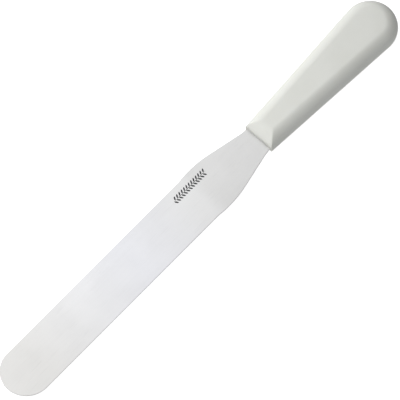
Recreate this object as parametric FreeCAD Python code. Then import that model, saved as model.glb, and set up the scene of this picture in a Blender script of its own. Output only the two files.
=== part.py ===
"""Catering palette knife: a round-ended spring-steel blade with a plastic handle moulded over its tang.

The knife lies along X with the blade's tip at -X and the handle's butt at +X. +Z is up. The
origin is under the middle of the knife's length, on the plane of the handle's flat underside.
Lengths are in millimetres.
"""
import FreeCAD, Part
import math
import os

# Blade, measured along the knife from the front of the handle
BLADE_LENGTH = 254.0          # tip to handle, all that shows
BLADE_WIDTH = 37.4            # ground part, and the diameter of its round end
EDGE_GRINDING = 0.6           # taken off each edge of the blank, all but at the heel
HEEL_STEP_AHEAD = 55.0        # where the ground part gives way to the heel
HEEL_STEP_LENGTH = 6.0
SHOULDER_AHEAD = 41.0         # corner between the heel and the narrowing shoulder
SHOULDER_RADIUS = 84.0
NECK_WIDTH = 22.3             # where the blade enters the handle
NECK_LENGTH = 3.2             # parallel neck ahead of the handle
NECK_RADIUS = 40.0
STEEL_THICKNESS = 1.2         # sheet, at the tang and the heel
TIP_THICKNESS = 0.7           # after taper grinding

# Tang, hidden in the handle
NECK_IN_HANDLE = 6.0          # neck that goes on at full width behind the front of the handle
TANG_WIDTH = 14.0
TANG_END_COVER = 37.0         # plastic behind the end of the tang
TANG_CORNER_RADIUS = 3.0
KEY_HOLE_DIAMETER = 7.0
KEY_HOLE_COUNT = 3

# Handle, outside
HANDLE_LENGTH = 134.0
HANDLE_FRONT_WIDTH = 25.2
HANDLE_BUTT_WIDTH = 39.0      # diameter of the round butt
HANDLE_THICKNESS = 19.0
HANDLE_SIDE_LAND = 1.0        # upright band along the mould's parting line
NOSE_THICKNESS = 6.6          # height of the handle's front face
NOSE_LENGTH = 10.3            # rounded run from the front face up to the flat top

# Handle, inside
SKIN_WALL = 3.5               # outer shot over the core
CORE_SETBACK = 9.0            # front of the core behind the front of the handle

HEEL_WIDTH = BLADE_WIDTH + 2 * EDGE_GRINDING
OVERALL_LENGTH = BLADE_LENGTH + HANDLE_LENGTH
HANDLE_X = OVERALL_LENGTH / 2 - HANDLE_LENGTH
BLADE_Z = HANDLE_THICKNESS / 2
CUT_MARGIN = 5.0              # how far a cutting block stands clear of what it trims


def point(x, y, z=0.0):
    return FreeCAD.Vector(x, y, z)


def rounded_face(corners):
    """A flat face in XY whose corners (x, y, radius) are rounded by tangent arcs."""
    edges = []
    count = len(corners)
    starts, ends, middles = [], [], []
    for i, (x, y, radius) in enumerate(corners):
        here = point(x, y)
        to_last = point(*corners[i - 1][:2]).sub(here).normalize()
        to_next = point(*corners[(i + 1) % count][:2]).sub(here).normalize()
        half_angle = to_last.getAngle(to_next) / 2
        reach = radius / math.tan(half_angle)
        inward = to_last.add(to_next).normalize()
        starts.append(here.add(to_last.multiply(reach)))
        ends.append(here.add(to_next.multiply(reach)))
        middles.append(here.add(inward.multiply(radius / math.sin(half_angle) - radius)))
    for i in range(count):
        if corners[i][2] > 0:
            edges.append(Part.Arc(starts[i], middles[i], ends[i]).toShape())
        following = starts[(i + 1) % count]
        if ends[i].distanceToPoint(following) > 1e-6:
            edges.append(Part.LineSegment(ends[i], following).toShape())
    return Part.Face(Part.Wire(Part.__sortEdges__(edges)))


def mirrored(upper):
    """A closed run of corners from those on its +Y side, listed from -X to +X."""
    return upper + [(x, -y, radius) for x, y, radius in reversed(upper)]


def slab(face, thickness):
    """A face in XY thickened equally up and down from the blade's mid-plane."""
    return face.translated(point(0, 0, BLADE_Z - thickness / 2)).extrude(point(0, 0, thickness))


def side_block(profile, width):
    """A closed run of (x, z) points, as a block across the knife's width."""
    corners = [point(x, -width / 2, z) for x, z in profile + profile[:1]]
    return Part.Face(Part.makePolygon(corners)).extrude(point(0, width, 0))


def make_blade():
    """One steel blank: round end, ground blade, heel, shoulder, neck and keyed tang."""
    tip_x = HANDLE_X - BLADE_LENGTH
    heel_x = HANDLE_X - HEEL_STEP_AHEAD
    tang_end = HANDLE_X + HANDLE_LENGTH - TANG_END_COVER
    neck_end = HANDLE_X + NECK_IN_HANDLE
    step_radius = HEEL_STEP_LENGTH
    outline = rounded_face(mirrored([
        (tip_x, BLADE_WIDTH / 2, BLADE_WIDTH / 2),
        (heel_x - HEEL_STEP_LENGTH, BLADE_WIDTH / 2, step_radius),
        (heel_x, HEEL_WIDTH / 2, step_radius),
        (HANDLE_X - SHOULDER_AHEAD, HEEL_WIDTH / 2, SHOULDER_RADIUS),
        (HANDLE_X - NECK_LENGTH, NECK_WIDTH / 2, NECK_RADIUS),
        (neck_end, NECK_WIDTH / 2, TANG_CORNER_RADIUS / 2),
        (neck_end, TANG_WIDTH / 2, TANG_CORNER_RADIUS / 2),
        (tang_end, TANG_WIDTH / 2, TANG_CORNER_RADIUS),
    ]))
    blank = slab(outline, STEEL_THICKNESS)

    # Taper grinding thins the sheet evenly on both faces from the heel to the tip.
    taper = side_block([
        (tip_x - CUT_MARGIN, BLADE_Z - TIP_THICKNESS / 2),
        (tip_x, BLADE_Z - TIP_THICKNESS / 2),
        (heel_x, BLADE_Z - STEEL_THICKNESS / 2),
        (tang_end + CUT_MARGIN, BLADE_Z - STEEL_THICKNESS / 2),
        (tang_end + CUT_MARGIN, BLADE_Z + STEEL_THICKNESS / 2),
        (heel_x, BLADE_Z + STEEL_THICKNESS / 2),
        (tip_x, BLADE_Z + TIP_THICKNESS / 2),
        (tip_x - CUT_MARGIN, BLADE_Z + TIP_THICKNESS / 2),
    ], 2 * HEEL_WIDTH)
    blade = blank.common(taper)

    pitch = (tang_end - neck_end) / (KEY_HOLE_COUNT + 1)
    for i in range(KEY_HOLE_COUNT):
        centre = point(neck_end + pitch * (i + 1), 0, BLADE_Z - STEEL_THICKNESS)
        blade = blade.cut(Part.makeCylinder(KEY_HOLE_DIAMETER / 2, 2 * STEEL_THICKNESS, centre))
    return blade.removeSplitter()


def handle_bar(front_x, inset):
    """The handle's tapering bar with round sides and butt, drawn in evenly by an inset."""
    butt_radius = HANDLE_BUTT_WIDTH / 2
    run = HANDLE_LENGTH - butt_radius
    front_half = HANDLE_FRONT_WIDTH / 2
    taper = math.asin(butt_radius / math.hypot(run, front_half)) - math.atan2(front_half, run)

    def half_width(x):
        return front_half + (x - HANDLE_X) * math.tan(taper) - inset / math.cos(taper)

    end_x = HANDLE_X + HANDLE_LENGTH - inset
    face = rounded_face(mirrored([
        (front_x, half_width(front_x), 0.0),
        (end_x, half_width(end_x), butt_radius - inset),
    ]))
    thickness = HANDLE_THICKNESS - 2 * inset
    side_radius = (thickness - HANDLE_SIDE_LAND) / 2
    bar = slab(face, thickness)
    rim = [
        edge for edge in bar.Edges
        if edge.BoundBox.ZLength < 1e-6 and edge.BoundBox.XMax > front_x + 1e-3
    ]
    return bar.makeFillet(side_radius, rim)


def nose_block():
    """The room inside the rounded nose: arcs rise from the front face to the flat top and underside."""
    rise = (HANDLE_THICKNESS - NOSE_THICKNESS) / 2
    radius = (NOSE_LENGTH ** 2 + rise ** 2) / (2 * rise)
    half_height = HANDLE_THICKNESS / 2
    crest_x = HANDLE_X + NOSE_LENGTH
    mid_angle = math.asin(NOSE_LENGTH / radius) / 2
    back_x = HANDLE_X + HANDLE_LENGTH + CUT_MARGIN
    near_y = -HANDLE_BUTT_WIDTH

    def at(x, up):
        return point(x, near_y, BLADE_Z + up)

    def arc(side):
        middle = at(
            crest_x - radius * math.sin(mid_angle),
            side * (half_height - radius * (1 - math.cos(mid_angle))),
        )
        front = at(HANDLE_X, side * NOSE_THICKNESS / 2)
        return Part.Arc(front, middle, at(crest_x, side * half_height)).toShape()

    def line(start, end):
        return Part.LineSegment(at(*start), at(*end)).toShape()

    edges = [
        arc(1),
        line((crest_x, half_height), (back_x, half_height)),
        line((back_x, half_height), (back_x, -half_height)),
        line((back_x, -half_height), (crest_x, -half_height)),
        arc(-1),
        line((HANDLE_X, -NOSE_THICKNESS / 2), (HANDLE_X, NOSE_THICKNESS / 2)),
    ]
    face = Part.Face(Part.Wire(Part.__sortEdges__(edges)))
    return face.extrude(point(0, -2 * near_y, 0))


def make_handle(blade):
    """The moulded core round the tang, with pegs through its holes, and the skin over both."""
    core_block = handle_bar(HANDLE_X + CORE_SETBACK, SKIN_WALL)
    outside = handle_bar(HANDLE_X, 0.0).common(nose_block())
    core = core_block.cut(blade)
    grip = outside.cut(core_block).cut(blade)
    return core, grip


def main():
    blade = make_blade()
    core, grip = make_handle(blade)
    os.makedirs("parts", exist_ok=True)
    for node, shape in (("blade", blade), ("handle_core", core), ("handle_grip", grip)):
        solids = shape.Solids
        print(f"{node}: {len(solids)} solid(s), {shape.Volume:.1f} mm3, valid {shape.isValid()}")
        shape.exportStep(f"parts/{node}.step")


main()
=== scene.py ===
"""Looks of a catering palette knife: satin spring-steel blade, white moulded handle, etched ornament.

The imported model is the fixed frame. The blade and the outside of the handle are rebuilt here with
rounded edges at the sizes that the frame gives, and every surface gets a procedural finish. Sizes
are in metres, and an angle's name says its unit.
"""
from __future__ import annotations

import logging
import math
from dataclasses import dataclass, field
from enum import Enum
from typing import Optional, Union

import bmesh
import bpy
from mathutils import Matrix, Vector

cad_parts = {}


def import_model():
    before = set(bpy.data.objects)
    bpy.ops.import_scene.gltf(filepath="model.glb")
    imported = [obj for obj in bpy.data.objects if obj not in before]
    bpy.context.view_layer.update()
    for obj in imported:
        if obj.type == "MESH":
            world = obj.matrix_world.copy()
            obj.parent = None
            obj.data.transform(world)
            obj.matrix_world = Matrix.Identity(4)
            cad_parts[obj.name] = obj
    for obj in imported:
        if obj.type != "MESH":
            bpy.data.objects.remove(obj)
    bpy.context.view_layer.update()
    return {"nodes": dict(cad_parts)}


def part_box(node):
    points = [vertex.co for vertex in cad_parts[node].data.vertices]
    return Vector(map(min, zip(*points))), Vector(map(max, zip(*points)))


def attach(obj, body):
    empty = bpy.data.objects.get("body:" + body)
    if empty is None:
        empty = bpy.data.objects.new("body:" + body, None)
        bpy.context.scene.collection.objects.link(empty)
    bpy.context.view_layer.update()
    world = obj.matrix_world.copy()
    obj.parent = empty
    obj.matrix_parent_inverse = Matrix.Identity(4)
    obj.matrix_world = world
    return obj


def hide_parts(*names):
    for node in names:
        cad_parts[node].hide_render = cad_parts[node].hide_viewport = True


LOG = logging.getLogger("palette_knife")
BODY = "root"
MM = 0.001
WELD = 0.002 * MM

Colour = tuple[float, float, float]


class Slot(Enum):
    """Material slots of the record, for the steel and the plastic; nothing in this script uses them."""

    BLADE = "blade_steel"
    GRIP = "grip_plastic"


class Node(Enum):
    """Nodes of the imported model."""

    BLADE = "blade"
    CORE = "handle_core"
    GRIP = "handle_grip"


# ---------------------------------------------------------------- node trees


@dataclass(frozen=True)
class Term:
    """One output socket of a node tree, on which Python's operators add Math nodes."""

    tree: "Tree"
    socket: bpy.types.NodeSocket

    def math(self, operation: str, *others: "Number", first: Optional["Number"] = None) -> "Term":
        """Adds one Math node.

        Args:
            operation: the Math node's operation.
            others: what goes in after this term.
            first: what goes in before it instead, for a reflected operator.

        Returns:
            The node's result.
        """
        given = (self, *others) if first is None else (first, self)
        return self.tree.add("ShaderNodeMath", {"operation": operation}, dict(enumerate(given)))

    def __add__(self, other: "Number") -> "Term":
        """This term plus another."""
        return self.math("ADD", other)

    __radd__ = __add__

    def __sub__(self, other: "Number") -> "Term":
        """This term less another."""
        return self.math("SUBTRACT", other)

    def __rsub__(self, other: "Number") -> "Term":
        """A number less this term."""
        return self.math("SUBTRACT", first=other)

    def __mul__(self, other: "Number") -> "Term":
        """This term times another."""
        return self.math("MULTIPLY", other)

    __rmul__ = __mul__

    def __truediv__(self, other: "Number") -> "Term":
        """This term over another."""
        return self.math("DIVIDE", other)

    def __rtruediv__(self, other: "Number") -> "Term":
        """A number over this term."""
        return self.math("DIVIDE", first=other)

    def __pow__(self, power: "Number") -> "Term":
        """This term to a power."""
        return self.math("POWER", power)

    def __abs__(self) -> "Term":
        """The size of this term, without its sign."""
        return self.math("ABSOLUTE")

    def clamped(self) -> "Term":
        """This term, held from 0 to 1."""
        return self.math("MAXIMUM", 0.0).math("MINIMUM", 1.0)

    def step(self, low: float, high: float) -> "Term":
        """A smooth step.

        Args:
            low: where the step is still 0.
            high: where it has become 1.

        Returns:
            The step's height.
        """
        settings = {"interpolation_type": "SMOOTHSTEP"}
        return self.tree.add("ShaderNodeMapRange", settings, {0: self, 1: low, 2: high})


Number = Union[Term, float]
Sockets = dict[str, Union[Term, float, tuple]]


@dataclass(frozen=True)
class Tree:
    """A shader or geometry tree that nodes are added to."""

    nodes: bpy.types.NodeTree

    def add(
        self,
        kind: str,
        settings: Optional[dict] = None,
        inputs: Optional[dict] = None,
        output: Union[int, str] = 0,
    ) -> Optional[Term]:
        """Adds a node of any type.

        Args:
            kind: the node's type.
            settings: its settings, set first. "stops" are a ramp's (place, colour) pairs.
            inputs: a value, a Term or a list of Terms for each socket, by its name or number.
            output: the output socket to go on with.

        Returns:
            That output, or None from a node that has none.
        """
        node = self.nodes.nodes.new(kind)
        for name, value in (settings or {}).items():
            if name == "stops":
                set_stops(node.color_ramp, value)
            else:
                setattr(node, name, value)
        for key, value in (inputs or {}).items():
            if isinstance(value, (Term, list)):
                for term in value if isinstance(value, list) else [value]:
                    self.nodes.links.new(term.socket, node.inputs[key])
            else:
                node.inputs[key].default_value = value
        return Term(self, node.outputs[output]) if len(node.outputs) else None

    def split(self, vector: Term) -> tuple[Term, Term, Term]:
        """The three parts of a vector, each as a term."""
        first = self.add("ShaderNodeSeparateXYZ", None, {0: vector})
        outputs = first.socket.node.outputs
        return first, Term(self, outputs[1]), Term(self, outputs[2])

    def joined(self, x: Number, y: Number, z: Number) -> Term:
        """A vector from its three parts."""
        return self.add("ShaderNodeCombineXYZ", None, {0: x, 1: y, 2: z})

    def mixed(self, share: Number, first: Union[Term, Colour], second: Union[Term, Colour]) -> Term:
        """Mixes two colours.

        Args:
            share: how much of the second shows.
            first: the colour where share is 0.
            second: the colour where share is 1.

        Returns:
            The mixed colour.
        """
        pair = [c if isinstance(c, Term) else (*c, 1.0) for c in (first, second)]
        inputs = {0: share, 6: pair[0], 7: pair[1]}
        return self.add("ShaderNodeMix", {"data_type": "RGBA"}, inputs, 2)


def set_stops(ramp: bpy.types.ColorRamp, stops: list[tuple[float, Colour]]) -> None:
    """Sets a ramp's stops.

    Args:
        ramp: the ramp.
        stops: the (place, colour) pairs, in order.
    """
    while len(ramp.elements) < len(stops):
        ramp.elements.new(0.5)
    for element, (place, colour) in zip(ramp.elements, stops):
        element.position = place
        element.color = (*colour, 1.0)


# ---------------------------------------------------------------- finishes


@dataclass(frozen=True)
class Pattern:
    """A noise on object coordinates: its cells in each metre, its octaves and the finer ones' strength.

    A draw below 1 stretches it along the knife.
    """

    cells: float
    octaves: float = 2.0
    fineness: float = 0.5
    draw: float = 1.0

    def on(self, tree: Tree, place: Term) -> Term:
        """Adds the noise to a material.

        Args:
            tree: the material's tree.
            place: object coordinates.

        Returns:
            The noise's height, from 0 to 1.
        """
        settings = {"operation": "MULTIPLY"}
        drawn = tree.add("ShaderNodeVectorMath", settings, {0: place, 1: (self.draw, 1.0, 1.0)})
        inputs = {
            "Vector": drawn,
            "Scale": self.cells,
            "Detail": self.octaves,
            "Roughness": self.fineness,
        }
        return tree.add("ShaderNodeTexNoise", None, inputs)


@dataclass(frozen=True)
class Finish:
    """A surface finish: its name, its one colour and the constants of its shader."""

    name: str
    colour: Colour
    roughness: float

    def constants(self) -> Sockets:
        """The shader's sockets that are the same all over the surface."""
        return {}

    def paint(self, tree: Tree, place: Term) -> Sockets:
        """The shader's sockets that change over the surface.

        Args:
            tree: the material's tree.
            place: object coordinates.

        Returns:
            A value or a term for each socket's name.
        """
        return {"Base Color": (*self.colour, 1.0), "Roughness": self.roughness}

    def bumped(self, tree: Tree, height: Term, depth: float, strength: float) -> Term:
        """A normal bent by a height.

        Args:
            tree: the material's tree.
            height: the height, from 0 to 1.
            depth: what a height of 1 stands for.
            strength: how much of it shows.

        Returns:
            The normal.
        """
        inputs = {"Strength": strength, "Distance": depth, "Height": height}
        return tree.add("ShaderNodeBump", None, inputs)

    def material(self) -> bpy.types.Material:
        """Builds the material.

        Returns:
            The finished material.
        """
        made = bpy.data.materials.new(self.name)
        made.use_nodes = True
        made.node_tree.nodes.clear()
        tree = Tree(made.node_tree)
        place = tree.add("ShaderNodeTexCoord", None, None, "Object")
        inputs = {**self.constants(), **self.paint(tree, place)}
        shader = tree.add("ShaderNodeBsdfPrincipled", None, inputs)
        tree.add("ShaderNodeOutputMaterial", None, {"Surface": shader})
        return made


@dataclass(frozen=True)
class SatinSteel(Finish):
    """Stainless spring steel, ground lengthwise ahead of the heel and left as rolled behind it."""

    tip_x: float = -0.2
    ground_to: float = 0.0
    heel_blend: float = 6.0 * MM
    painted_reflection_slope: float = 1.3  # painted reflection: tone gained in each metre across the blade, lighter towards +y
    # Painted reflection: the steel's colour from the tip (0) to the heel (1), brightest in the middle of
    # the blade.
    painted_reflection_tones: tuple[tuple[float, Colour], ...] = (
        (0.15, (0.892, 0.882, 0.858)),
        (0.45, (0.958, 0.956, 0.964)),
        (0.65, (0.934, 0.936, 0.965)),
        (0.80, (0.894, 0.894, 0.908)),
        (0.94, (0.884, 0.882, 0.874)),
    )
    fine_lines: Pattern = Pattern(5200.0, 3.0, 0.6, draw=0.02)
    broad_lines: Pattern = Pattern(900.0, draw=0.03)
    fine_share: float = 0.65
    bands: Pattern = Pattern(260.0, draw=0.02)
    rolled: Pattern = Pattern(700.0, 3.0)
    scratches: Pattern = Pattern(1500.0, 0.0, draw=0.05)
    scratch_limits: tuple[float, float] = (0.70, 0.74)
    smears: Pattern = Pattern(28.0, 3.0, 0.6)
    smear_limits: tuple[float, float] = (0.35, 0.75)
    base_tone: float = 0.955
    grain_tone: float = 0.06
    band_tone: float = 0.04
    scratch_tone: float = 0.03
    smear_tone: float = 0.02
    grain_roughness: float = 0.10
    smear_roughness: float = 0.035
    rolled_roughness: float = 0.05
    scratch_depth: float = 0.4
    relief: float = 0.012 * MM
    relief_strength: float = 0.5

    def constants(self) -> Sockets:
        """Steel throughout."""
        return {"Metallic": 1.0}

    def paint(self, tree: Tree, place: Term) -> Sockets:
        """Grinding lines, faint handling marks, a painted reflection along and across the blade, and a
        change of tone at the heel.

        Args:
            tree: the material's tree.
            place: object coordinates.

        Returns:
            A term for each socket's name.
        """
        x, y, _ = tree.split(place)
        ground = 1 - x.step(self.ground_to - self.heel_blend, self.ground_to + self.heel_blend)
        fine = self.fine_lines.on(tree, place) * self.fine_share
        lines = fine + self.broad_lines.on(tree, place) * (1 - self.fine_share)
        rolled = self.rolled.on(tree, place)
        grain = rolled + ground * (lines - rolled)
        scratches = self.scratches.on(tree, place).step(*self.scratch_limits)
        smear = self.smears.on(tree, place).step(*self.smear_limits)

        # Painted reflection along the blade ahead of the heel; behind the heel the plain steel colour
        # shows.
        along = (x - self.tip_x) / (self.ground_to - self.tip_x)
        tone = tree.add("ShaderNodeValToRGB", {"stops": self.painted_reflection_tones}, {0: along})
        tone = tree.mixed(ground, self.colour, tone)
        texture = grain * self.grain_tone + self.bands.on(tree, place) * self.band_tone
        marks = scratches * self.scratch_tone + smear * self.smear_tone
        # The y term paints a reflection across the blade, lighter towards +y.
        shade = self.base_tone + texture + y * self.painted_reflection_slope - marks
        settings = {"operation": "SCALE"}
        colour = tree.add("ShaderNodeVectorMath", settings, {"Vector": tone, "Scale": shade})
        rough = self.roughness + (grain - 0.5) * self.grain_roughness
        rough = rough + smear * self.smear_roughness + (1 - ground) * self.rolled_roughness
        height = grain - scratches * self.scratch_depth
        normal = self.bumped(tree, height, self.relief, self.relief_strength)
        return {"Base Color": colour, "Roughness": rough, "Normal": normal}


@dataclass(frozen=True)
class MouldedPlastic(Finish):
    """Polypropylene with the fine dull texture that a spark-eroded mould leaves."""

    spark: Pattern = Pattern(1.0 / (0.45 * MM), 3.0, 0.65)
    clouds: Pattern = Pattern(45.0, 3.0)
    cloud_limits: tuple[float, float] = (0.30, 0.75)
    rubbed: Pattern = Pattern(90.0, 4.0, 0.65)
    rub_limits: tuple[float, float] = (0.56, 0.72)
    cloud_tone: float = 0.35
    spark_tone: float = 0.15
    spark_roughness: float = 0.14
    rub_roughness: float = 0.06
    rub_depth: float = 0.35
    relief: float = 0.02 * MM
    relief_strength: float = 0.6
    refraction: float = 1.49
    translucency: float = 0.15
    light_reach: float = 2.0 * MM
    reach_by_colour: Colour = (1.0, 0.95, 0.85)
    parting_z: Optional[float] = None
    parting_limits: tuple[float, float] = (0.05 * MM, 0.22 * MM)
    parting_tone: float = 0.25
    parting_roughness: float = 0.08
    shaded: Colour = (0.700, 0.705, 0.651)

    def constants(self) -> Sockets:
        """A little light passes under the skin of white plastic."""
        return {
            "IOR": self.refraction,
            "Subsurface Weight": self.translucency,
            "Subsurface Scale": self.light_reach,
            "Subsurface Radius": self.reach_by_colour,
        }

    def paint(self, tree: Tree, place: Term) -> Sockets:
        """Moulded texture, faint clouds of tone, rubbed patches and the parting line.

        Args:
            tree: the material's tree.
            place: object coordinates.

        Returns:
            A term for each socket's name.
        """
        spark = self.spark.on(tree, place)
        clouds = self.clouds.on(tree, place).step(*self.cloud_limits)
        rubbed = self.rubbed.on(tree, place).step(*self.rub_limits)
        darker = clouds * self.cloud_tone + spark * self.spark_tone
        tone = tree.mixed(darker, self.colour, self.shaded)
        rough = self.roughness + (spark - 0.5) * self.spark_roughness - rubbed * self.rub_roughness
        height = spark * (1 - rubbed * self.rub_depth)
        if self.parting_z is not None:
            _, _, z = tree.split(place)
            line = 1 - abs(z - self.parting_z).step(*self.parting_limits)
            tone = tree.mixed(line * self.parting_tone, tone, self.shaded)
            rough = rough + line * self.parting_roughness
        normal = self.bumped(tree, height, self.relief, self.relief_strength)
        return {"Base Color": tone, "Roughness": rough, "Normal": normal}


@dataclass(frozen=True)
class EtchedOxide(Finish):
    """The dark oxide that an electrochemical etch leaves in steel."""

    metal: float = 0.35
    lighter: float = 3.2
    pits: Pattern = Pattern(3500.0, 3.0)
    lines: Pattern = Pattern(4000.0, draw=0.05)
    pit_share: float = 0.6
    light_limits: tuple[float, float] = (0.35, 0.75)
    pit_roughness: float = 0.2

    def constants(self) -> Sockets:
        """Oxide on metal."""
        return {"Metallic": self.metal}

    def paint(self, tree: Tree, place: Term) -> Sockets:
        """An uneven dark grey with the steel's lines showing through.

        Args:
            tree: the material's tree.
            place: object coordinates.

        Returns:
            A term for each socket's name.
        """
        pits = self.pits.on(tree, place)
        lines = self.lines.on(tree, place)
        uneven = (pits * self.pit_share + lines * (1 - self.pit_share)).step(*self.light_limits)
        lighter = tuple(self.lighter * part for part in self.colour)
        tone = tree.mixed(uneven, self.colour, lighter)
        rough = self.roughness + (pits - 0.5) * self.pit_roughness
        return {"Base Color": tone, "Roughness": rough}


@dataclass(frozen=True)
class StudioFloor(Finish):
    """A white sweep that glows a little, so that it stays pale under the knife."""

    glow: float = 0.25
    shine: float = 0.1

    def constants(self) -> Sockets:
        """A matt sheet with its own faint light."""
        return {
            "Emission Color": (1.0, 1.0, 1.0, 1.0),
            "Emission Strength": self.glow,
            "Specular IOR Level": self.shine,
        }


# ---------------------------------------------------------------- meshes


def link(name: str, data: bpy.types.ID) -> bpy.types.Object:
    """An object in the scene for a mesh, a curve, a light or a camera."""
    made = bpy.data.objects.new(name, data)
    bpy.context.scene.collection.objects.link(made)
    return made


def plain_mesh(source: bpy.types.Object, name: str) -> bpy.types.Object:
    """Turns an object with live modifiers or a curve into a closed mesh with its faces outwards.

    Args:
        source: the object, which is removed.
        name: the new object's name.

    Returns:
        The new object, at the origin.
    """
    graph = bpy.context.evaluated_depsgraph_get()
    mesh = bpy.data.meshes.new_from_object(source.evaluated_get(graph))
    bpy.data.objects.remove(source)
    shell = bmesh.new()
    shell.from_mesh(mesh)
    bmesh.ops.remove_doubles(shell, verts=shell.verts, dist=WELD)
    bmesh.ops.recalc_face_normals(shell, faces=shell.faces)
    shell.to_mesh(mesh)
    shell.free()
    mesh.name = name
    return link(name, mesh)


def cut_across(piece: bpy.types.Object, x: float) -> None:
    """Gives a piece a row of vertices where it crosses a place along the knife.

    Args:
        piece: the piece, whose faces are divided there.
        x: the place.
    """
    shell = bmesh.new()
    shell.from_mesh(piece.data)
    everything = [*shell.verts, *shell.edges, *shell.faces]
    bmesh.ops.bisect_plane(
        shell, geom=everything, dist=WELD, plane_co=(x, 0.0, 0.0), plane_no=(1.0, 0.0, 0.0)
    )
    shell.to_mesh(piece.data)
    shell.free()


@dataclass
class GrownShape:
    """A geometry tree with named inputs, and the mesh that grows from it."""

    name: str
    sizes: dict[str, float]
    finish: bpy.types.Material
    tree: Tree = field(init=False)
    inlets: dict[str, Term] = field(init=False)

    def __post_init__(self) -> None:
        """Makes the tree and an input for each size."""
        group = bpy.data.node_groups.new(self.name, "GeometryNodeTree")
        group.interface.new_socket("Geometry", in_out="OUTPUT", socket_type="NodeSocketGeometry")
        for size in self.sizes:
            group.interface.new_socket(size, in_out="INPUT", socket_type="NodeSocketFloat")
        self.tree = Tree(group)
        opening = self.tree.add("NodeGroupInput").socket.node
        self.inlets = {size: Term(self.tree, opening.outputs[size]) for size in self.sizes}

    def grown(self, geometry: Term) -> bpy.types.Object:
        """Ends the tree and turns what it makes into a plain mesh.

        Args:
            geometry: the tree's last geometry.

        Returns:
            The piece's object.
        """
        real = self.tree.add("GeometryNodeRealizeInstances", None, {0: geometry})
        dressed = self.tree.add(
            "GeometryNodeSetMaterial", None, {"Geometry": real, "Material": self.finish}
        )
        self.tree.add("NodeGroupOutput", None, {0: dressed})
        group = self.tree.nodes
        seed = link(self.name + ".seed", bpy.data.meshes.new(self.name + ".seed"))
        modifier = seed.modifiers.new(self.name, "NODES")
        modifier.node_group = group
        for item in group.interface.items_tree:
            if item.in_out == "INPUT":
                modifier[item.identifier] = self.sizes[item.name]
        made = plain_mesh(seed, self.name)
        bpy.data.node_groups.remove(group)
        return made


def dress(piece: bpy.types.Object, finish: bpy.types.Material) -> None:
    """Gives a piece one material, in place of any that it has."""
    piece.data.materials.clear()
    piece.data.materials.append(finish)


def rounded_outline(corners: list[tuple[float, float, float]], step_deg: float) -> list[Vector]:
    """A closed outline whose corners are rounded by tangent arcs.

    Args:
        corners: (x, y, radius) of each corner, in order.
        step_deg: the largest turn between neighbouring points of an arc.

    Returns:
        The outline's points.
    """
    points: list[Vector] = []
    for i, (x, y, radius) in enumerate(corners):
        here = Vector((x, y, 0.0))
        to_last = (Vector((*corners[i - 1][:2], 0.0)) - here).normalized()
        to_next = (Vector((*corners[(i + 1) % len(corners)][:2], 0.0)) - here).normalized()
        half = to_last.angle(to_next) / 2
        centre = here + (to_last + to_next).normalized() * (radius / math.sin(half))
        start = here + to_last * (radius / math.tan(half)) - centre
        turn = math.pi - 2 * half
        steps = max(1, math.ceil(math.degrees(turn) / step_deg))
        way = 1.0 if to_last.cross(to_next).z < 0 else -1.0
        for k in range(steps + 1):
            angle = way * turn * k / steps
            turned = Vector((
                start.x * math.cos(angle) - start.y * math.sin(angle),
                start.x * math.sin(angle) + start.y * math.cos(angle),
                0.0,
            ))
            point = centre + turned
            if not points or (point - points[-1]).length > WELD:
                points.append(point)
    if (points[0] - points[-1]).length <= WELD:
        points.pop()
    return points


# ---------------------------------------------------------------- the knife


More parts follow.
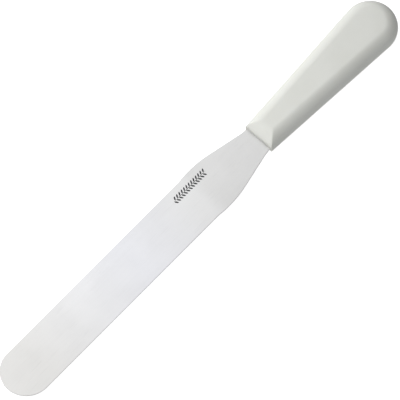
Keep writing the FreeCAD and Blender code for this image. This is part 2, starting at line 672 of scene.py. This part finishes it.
@dataclass
class Blade:
    """The steel: one blank with a round ground end, a heel, a long shoulder, a neck and a keyed tang."""

    ground_width: float = 37.4 * MM
    heel_ahead: float = 55.0 * MM
    heel_step: float = 6.0 * MM
    shoulder_ahead: float = 41.0 * MM
    shoulder_radius: float = 84.0 * MM
    neck_width: float = 22.3 * MM
    neck_ahead: float = 3.2 * MM
    neck_radius: float = 40.0 * MM
    neck_inside: float = 6.0 * MM
    tang_width: float = 14.0 * MM
    tang_radius: float = 3.0 * MM
    hole_diameter: float = 7.0 * MM
    hole_count: int = 3
    hole_sides: int = 48
    tip_thickness: float = 0.7 * MM
    edge_radius: float = 0.20 * MM
    edge_steps: int = 3
    arc_step_deg: float = 2.0
    flat_cosine: float = 0.999

    def __post_init__(self) -> None:
        """Takes the places and the outer sizes from the frame."""
        low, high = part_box(Node.BLADE.value)
        front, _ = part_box(Node.GRIP.value)
        self.tip_x, self.tang_end_x = low.x, high.x
        self.front_x = front.x
        self.middle_z = (low.z + high.z) / 2
        self.thickness = high.z - low.z
        self.heel_width = high.y - low.y
        self.heel_x = self.front_x - self.heel_ahead

    def half_thickness(self, x: float) -> float:
        """Half the steel's thickness at a place along the knife."""
        share = min(max((x - self.tip_x) / (self.heel_x - self.tip_x), 0.0), 1.0)
        return (self.tip_thickness + (self.thickness - self.tip_thickness) * share) / 2

    def outlines(self) -> list[list[Vector]]:
        """The blank's outline and its key holes.

        Returns:
            A list of closed runs of points, the outer one first.
        """
        neck_end = self.front_x + self.neck_inside
        upper = [
            (self.tip_x, self.ground_width / 2, self.ground_width / 2),
            (self.heel_x - self.heel_step, self.ground_width / 2, self.heel_step),
            (self.heel_x, self.heel_width / 2, self.heel_step),
            (self.front_x - self.shoulder_ahead, self.heel_width / 2, self.shoulder_radius),
            (self.front_x - self.neck_ahead, self.neck_width / 2, self.neck_radius),
            (neck_end, self.neck_width / 2, self.tang_radius / 2),
            (neck_end, self.tang_width / 2, self.tang_radius / 2),
            (self.tang_end_x, self.tang_width / 2, self.tang_radius),
        ]
        lower = [(x, -y, radius) for x, y, radius in reversed(upper)]
        runs = [rounded_outline(upper + lower, self.arc_step_deg)]
        pitch = (self.tang_end_x - neck_end) / (self.hole_count + 1)
        radius = self.hole_diameter / 2
        angles = [2 * math.pi * k / self.hole_sides for k in range(self.hole_sides)]
        for i in range(self.hole_count):
            x = neck_end + pitch * (i + 1)
            runs.append([Vector((x + radius * math.cos(a), radius * math.sin(a), 0.0)) for a in angles])
        return runs

    def build(self, finish: bpy.types.Material) -> bpy.types.Object:
        """Makes the blade with rounded edges and its taper grinding.

        Args:
            finish: the steel.

        Returns:
            The blade's object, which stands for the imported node.
        """
        curve = bpy.data.curves.new("blade_outline", "CURVE")
        curve.dimensions = "2D"
        curve.fill_mode = "BOTH"
        curve.extrude = self.thickness / 2 - self.edge_radius
        curve.bevel_depth = self.edge_radius
        curve.bevel_resolution = self.edge_steps
        curve.offset = -self.edge_radius
        for run in self.outlines():
            spline = curve.splines.new("POLY")
            spline.points.add(len(run) - 1)
            spline.points.foreach_set("co", [part for p in run for part in (*p, 1.0)])
            spline.use_cyclic_u = True
        blade = plain_mesh(link("blade_outline", curve), "blade_steel")
        # The taper ends at the heel, so the faces are divided there before they are thinned.
        cut_across(blade, self.heel_x)
        full = self.thickness / 2
        for vertex in blade.data.vertices:
            thinned = self.half_thickness(vertex.co.x) / full
            vertex.co.z = self.middle_z + vertex.co.z * thinned
        blade.data.update()
        for face in blade.data.polygons:
            face.use_smooth = abs(face.normal.z) < self.flat_cosine
        dress(blade, finish)
        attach(blade, BODY)
        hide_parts(Node.BLADE.value)
        return blade


@dataclass
class EtchedSprig:
    """A generic ornament on the heel: a sprig of paired leaves with no letters in it."""

    blade: Blade
    length: float = 31.0 * MM
    ahead: float = 58.5 * MM
    off_centre: float = 10.8 * MM
    pairs: int = 13
    leaf_length: float = 3.1 * MM
    leaf_width: float = 1.15 * MM
    leaf_sides: int = 10
    leaf_spread: float = 0.56
    stagger: float = 0.25
    lean_deg: float = 58.0
    stem_width: float = 0.35 * MM
    stem_sides: int = 24
    stem_overhang: float = 1.04
    relief: float = 0.016 * MM

    def leaves(self, shape: GrownShape, side: float) -> Term:
        """One row of leaves.

        Args:
            shape: the shape that the row belongs to.
            side: 1 for the row above the stem, -1 for the row below it.

        Returns:
            The row's geometry.
        """
        tree, size = shape.tree, shape.inlets
        lean = math.radians(self.lean_deg)
        leaf = tree.add(
            "GeometryNodeMeshCylinder",
            {"fill_type": "NGON"},
            {"Vertices": self.leaf_sides, "Radius": 0.5, "Depth": size["Relief"]},
        )
        stretch = tree.joined(size["Leaf Length"], size["Leaf Width"], 1.0)
        leaf = tree.add("GeometryNodeTransform", None, {"Geometry": leaf, "Scale": stretch})
        pitch = size["Length"] / float(self.pairs)
        first = tree.joined(
            pitch * (0.5 + self.stagger * side) - size["Length"] * 0.5,
            size["Leaf Length"] * (self.leaf_spread * math.sin(lean) * side),
            0.0,
        )
        line = tree.add(
            "GeometryNodeMeshLine",
            {"mode": "OFFSET", "count_mode": "TOTAL"},
            {"Count": self.pairs, "Start Location": first, "Offset": tree.joined(pitch, 0.0, 0.0)},
        )
        turned = tree.joined(0.0, 0.0, size["Lean"] * side)
        return tree.add(
            "GeometryNodeInstanceOnPoints",
            None,
            {"Points": line, "Instance": leaf, "Rotation": turned},
        )

    def build(self, finish: bpy.types.Material) -> bpy.types.Object:
        """Makes the ornament on the blade's upper face.

        Args:
            finish: the dark oxide.

        Returns:
            The ornament's object.
        """
        sizes = {
            "Length": self.length,
            "Leaf Length": self.leaf_length,
            "Leaf Width": self.leaf_width,
            "Lean": math.radians(self.lean_deg),
            "Stem Width": self.stem_width,
            "Relief": self.relief,
        }
        shape = GrownShape("etched_sprig", sizes, finish)
        tree, size = shape.tree, shape.inlets
        stem = tree.add(
            "GeometryNodeMeshCylinder",
            {"fill_type": "NGON"},
            {"Vertices": self.stem_sides, "Radius": 0.5, "Depth": size["Relief"]},
        )
        drawn = tree.joined(size["Length"] * self.stem_overhang, size["Stem Width"], 1.0)
        stem = tree.add("GeometryNodeTransform", None, {"Geometry": stem, "Scale": drawn})
        parts = [self.leaves(shape, 1.0), self.leaves(shape, -1.0), stem]
        sprig = shape.grown(tree.add("GeometryNodeJoinGeometry", None, {0: parts}))
        centre_x = self.blade.front_x - self.ahead
        for vertex in sprig.data.vertices:
            x = vertex.co.x + centre_x
            lifted = self.blade.middle_z + self.blade.half_thickness(x) + vertex.co.z
            vertex.co = (x, vertex.co.y + self.off_centre, lifted)
        sprig.data.update()
        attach(sprig, BODY)
        return sprig


@dataclass
class Grip:
    """The handle's outer moulding: a tapering bar with round sides and butt and a rounded nose."""

    front_width: float = 25.2 * MM
    side_land: float = 1.0 * MM
    nose_length: float = 10.3 * MM
    nose_height: float = 6.6 * MM
    edge_radius: float = 0.35 * MM
    crease_radius: float = 0.7 * MM
    parting_bead: float = 0.05 * MM
    stations: int = 331
    rings: int = 41
    cap_share: float = 0.025
    side_share: float = 0.68
    curl_share: float = 0.78
    station_power: float = 1.7
    land_rows: int = 2

    def __post_init__(self) -> None:
        """Takes the place and the outer sizes from the frame."""
        low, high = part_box(Node.GRIP.value)
        self.front_x = low.x
        self.length = high.x - low.x
        self.butt_radius = (high.y - low.y) / 2
        self.middle_z = (low.z + high.z) / 2
        self.half_height = (high.z - low.z) / 2

    def sizes(self) -> dict[str, float]:
        """The geometry tree's named inputs."""
        return {
            "Front X": self.front_x,
            "Middle Z": self.middle_z,
            "Length": self.length,
            "Front Half Width": self.front_width / 2,
            "Butt Radius": self.butt_radius,
            "Half Height": self.half_height,
            "Side Land": self.side_land,
            "Nose Length": self.nose_length,
            "Nose Half Height": self.nose_height / 2,
            "Edge Radius": self.edge_radius,
            "Crease Radius": self.crease_radius,
            "Parting Bead": self.parting_bead,
        }

    def surface(self, shape: GrownShape) -> tuple[Term, Term, Term]:
        """Where each vertex of a unit grid goes on the upper half of the handle.

        The grid's X runs round the handle, from the front along one side, round the butt and back.
        Its Y runs from the parting line up over the round side and in to the middle of the top.

        Args:
            shape: the shape with its named sizes.

        Returns:
            The vertex's place along and across the knife, and its height over the parting line.
        """
        tree, size = shape.tree, shape.inlets
        grid_x, grid_y, _ = tree.split(tree.add("GeometryNodeInputPosition"))
        way = (grid_x * -1.0).math("SIGN")
        path = 1 - abs(grid_x * 2.0)
        inward = grid_y + 0.5
        cap = (path / self.cap_share).clamped()
        side = ((path - self.cap_share) / (self.side_share - self.cap_share)).clamped()
        round_butt = ((path - self.side_share) / (1.0 - self.side_share)).clamped()
        on_butt = path.math("GREATER_THAN", self.side_share)

        # Cross-section: an upright land, a quarter round, then the flat top in to the middle.
        land_share = self.land_rows / (self.rings - 1)
        land = (inward / land_share).clamped()
        curl = ((inward - land_share) / (self.curl_share - land_share)).clamped() * (math.pi / 2)
        flat = ((inward - self.curl_share) / (1.0 - self.curl_share)).clamped()
        radius = size["Half Height"] - size["Side Land"] * 0.5
        bead = size["Parting Bead"] * (1 - land)
        inset = radius * (1 - curl.math("COSINE")) - bead
        height = size["Side Land"] * 0.5 * (land * land) + radius * curl.math("SINE")

        # Plan: straight sides that taper, tangent to the round butt.
        run = size["Length"] - size["Butt Radius"]
        front = size["Front Half Width"]
        reach = (run * run + front * front).math("SQRT")
        taper = (size["Butt Radius"] / reach).math("ARCSINE") - (front / run).math("ARCTANGENT")
        cosine = taper.math("COSINE")
        ring = (size["Butt Radius"] - inset) * (1 - flat)
        last = run - ring * taper.math("SINE")
        side_x = (side ** self.station_power) * last
        side_y = (front + side_x * taper.math("TANGENT") - inset / cosine) * (1 - flat)
        bearing = (taper + math.pi / 2) * (1 - round_butt)
        butt_x = run + ring * bearing.math("COSINE")
        butt_y = ring * bearing.math("SINE")
        x = side_x + on_butt * (butt_x - side_x)
        y = side_y + on_butt * (butt_y - side_y)

        # Nose: an arc in side view, from the front face up to the flat top.
        rise = size["Half Height"] - size["Nose Half Height"]
        nose_radius = (size["Nose Length"] ** 2.0 + rise * rise) / (rise * 2.0)
        ahead = (size["Nose Length"] - x).math("MAXIMUM", 0.0)
        nose = size["Half Height"] - nose_radius + (nose_radius ** 2.0 - ahead ** 2.0).math("SQRT")
        soft = size["Crease Radius"] * curl.math("COSINE")
        height = height.math("SMOOTH_MIN", nose, soft)

        # The front face's edge is rounded, and the face closes on its own middle.
        edge = size["Edge Radius"]
        short = (edge - x).math("MAXIMUM", 0.0)
        drawn_in = edge - (edge * edge - short * short).math("MAXIMUM", 0.0).math("SQRT")
        y = y * (1 - drawn_in / front) * cap * way
        height = height * (1 - drawn_in / size["Nose Half Height"]) * cap
        return x, y, height

    def build(self, finish: bpy.types.Material) -> bpy.types.Object:
        """Makes the outer moulding.

        Args:
            finish: the white plastic.

        Returns:
            The grip's object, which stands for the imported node.
        """
        shape = GrownShape("handle_shell", self.sizes(), finish)
        tree, size = shape.tree, shape.inlets
        grid = tree.add(
            "GeometryNodeMeshGrid",
            None,
            {"Size X": 1.0, "Size Y": 1.0, "Vertices X": self.stations, "Vertices Y": self.rings},
        )
        x, y, height = self.surface(shape)
        halves = []
        for side in (1.0, -1.0):
            place = tree.joined(size["Front X"] + x, y, size["Middle Z"] + height * side)
            half = tree.add("GeometryNodeSetPosition", None, {"Geometry": grid, "Position": place})
            halves.append(half)
        whole = tree.add("GeometryNodeJoinGeometry", None, {0: halves})
        whole = tree.add("GeometryNodeMergeByDistance", None, {"Geometry": whole, "Distance": WELD})
        whole = tree.add("GeometryNodeSetShadeSmooth", None, {"Geometry": whole})
        grip = shape.grown(whole)
        dress(grip, finish)
        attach(grip, BODY)
        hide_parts(Node.GRIP.value)
        return grip


# ---------------------------------------------------------------- the studio


@dataclass(frozen=True)
class SoftSource:
    """A broad glow in the surroundings: where it is, how bright, and the cosine at which it ends."""

    direction: tuple[float, float, float]
    strength: float
    edge: float

    def light(self, tree: Tree, looking: Term) -> Term:
        """What the source adds in the direction that is looked in.

        Args:
            tree: the world's tree.
            looking: the direction.

        Returns:
            The light.
        """
        inputs = {0: looking, 1: Vector(self.direction).normalized()}
        facing = tree.add("ShaderNodeVectorMath", {"operation": "DOT_PRODUCT"}, inputs, "Value")
        return facing.step(self.edge, 1.0) * self.strength


@dataclass(frozen=True)
class SoftBox:
    """A square lamp behind a diffuser. It lights the stage, but no steel mirrors it."""

    name: str
    place: tuple[float, float, float]
    aim: tuple[float, float, float]
    size: float
    power: float

    def build(self) -> None:
        """Hangs the lamp and turns it to what it lights."""
        data = bpy.data.lights.new(self.name, "AREA")
        data.size = self.size
        data.energy = self.power
        lamp = link(self.name, data)
        lamp.location = self.place
        lamp.rotation_euler = (lamp.location - Vector(self.aim)).to_track_quat("Z", "Y").to_euler()
        lamp.visible_camera = False
        lamp.visible_glossy = False


SOURCES = (
    SoftSource((0.0, 1.0, 0.3), 0.32, -0.2),
    SoftSource((0.15, 0.55, 1.0), 0.74, 0.6),
    SoftSource((0.3, -1.0, -0.4), 0.22, 0.0),
    SoftSource((0.3, -1.0, -1.0), 0.46, 0.2),
    SoftSource((-0.1, 0.95, -0.3), 0.25, 0.15),
    SoftSource((-1.0, 0.0, 0.0), 0.90, 0.5),
)
BOXES = (
    SoftBox("soft_box_over", (-0.10, 0.12, 0.40), (-0.10, 0.12, 0.0), 0.35, 0.85),
    SoftBox("soft_box_far", (-0.05, 1.38, 0.38), (0.0, 0.0, 0.0), 0.6, 6.3),
)


@dataclass
class Studio:
    """The floor, the light and the camera."""

    floor_size: float = 6.0
    floor_drop: float = 0.05 * MM
    floor_colour: Colour = (0.92, 0.92, 0.92)
    floor_roughness: float = 0.9
    floor_glow: float = 0.74
    picture_width: float = 0.2762
    camera_distance: float = 8.0
    tilt_deg: float = 23.8
    aim_x: float = -1.15 * MM
    aim_y: float = -1.28 * MM
    sensor: float = 36.0
    farthest: float = 100.0
    sources: tuple[SoftSource, ...] = SOURCES
    least: float = 0.07
    sky_colour: Colour = (0.985, 0.99, 1.0)
    boxes: tuple[SoftBox, ...] = BOXES

    def floor(self) -> None:
        """Lays the plain floor under the handle."""
        half = self.floor_size / 2
        mesh = bpy.data.meshes.new("floor")
        corners = [(-half, -half, 0), (half, -half, 0), (half, half, 0), (-half, half, 0)]
        mesh.from_pydata([Vector(c) for c in corners], [], [(0, 1, 2, 3)])
        floor = link("floor", mesh)
        floor.location.z = -self.floor_drop
        white = StudioFloor("floor_white", self.floor_colour, self.floor_roughness, self.floor_glow)
        dress(floor, white.material())
        floor.visible_diffuse = False
        floor.visible_glossy = False

    def sky(self) -> None:
        """Surrounds the stage with soft light, brightest on the far side of the knife."""
        world = bpy.data.worlds.new("studio")
        world.use_nodes = True
        world.node_tree.nodes.clear()
        tree = Tree(world.node_tree)
        looking = tree.add("ShaderNodeTexCoord", None, None, "Generated")
        light = sum((source.light(tree, looking) for source in self.sources), self.least)
        inputs = {"Color": (*self.sky_colour, 1.0), "Strength": light}
        glow = tree.add("ShaderNodeBackground", None, inputs)
        tree.add("ShaderNodeOutputWorld", None, {"Surface": glow})
        bpy.context.scene.world = world

    def camera(self) -> None:
        """Places the camera in front and above, with the knife rising to the right at 45 degrees."""
        tilt = math.radians(self.tilt_deg)
        slant = math.sin(tilt) / math.sqrt(2)
        back = Vector((-slant, -slant, math.cos(tilt)))
        low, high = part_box(Node.BLADE.value)
        aim = Vector((self.aim_x, self.aim_y, (low.z + high.z) / 2))
        data = bpy.data.cameras.new("camera")
        data.sensor_width = self.sensor
        data.lens = self.sensor * self.camera_distance / self.picture_width
        data.clip_end = self.farthest
        camera = link("camera", data)
        camera.location = aim + back * self.camera_distance
        along = Vector((1.0, 0.0, 0.0))
        along = (along - back * along.dot(back)).normalized()
        upward = back.cross(along)
        right = (along - upward).normalized()
        top = (along + upward).normalized()
        turn = Matrix((right, top, back)).transposed()
        camera.rotation_euler = turn.to_euler()
        bpy.context.scene.camera = camera

    def build(self) -> None:
        """Makes the whole stage."""
        bpy.context.scene.view_settings.view_transform = "Standard"
        self.floor()
        self.sky()
        for box in self.boxes:
            box.build()
        self.camera()


def main() -> None:
    """Builds the knife and its stage, piece by piece."""
    logging.basicConfig(level=logging.INFO, format="%(name)s: %(message)s")
    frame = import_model()

    blade = Blade()
    steel = SatinSteel(
        "satin_steel", (0.862, 0.858, 0.846), 0.34, tip_x=blade.tip_x, ground_to=blade.heel_x
    )
    LOG.info("blade: %d vertices", len(blade.build(steel.material()).data.vertices))

    oxide = EtchedOxide("etched_oxide", (0.022, 0.022, 0.024), 0.5)
    sprig = EtchedSprig(blade).build(oxide.material())
    LOG.info("ornament: %d vertices", len(sprig.data.vertices))

    grip = Grip()
    white = MouldedPlastic("white_plastic", (0.782, 0.788, 0.743), 0.42, parting_z=grip.middle_z)
    LOG.info("grip: %d vertices", len(grip.build(white.material()).data.vertices))

    core = frame["nodes"][Node.CORE.value]
    natural = MouldedPlastic("natural_plastic", (0.55, 0.55, 0.50), 0.5, shaded=(0.48, 0.48, 0.43))
    dress(core, natural.material())
    LOG.info("core: packed node, hidden in the grip")

    Studio().build()


if __name__ == "__main__":
    main()
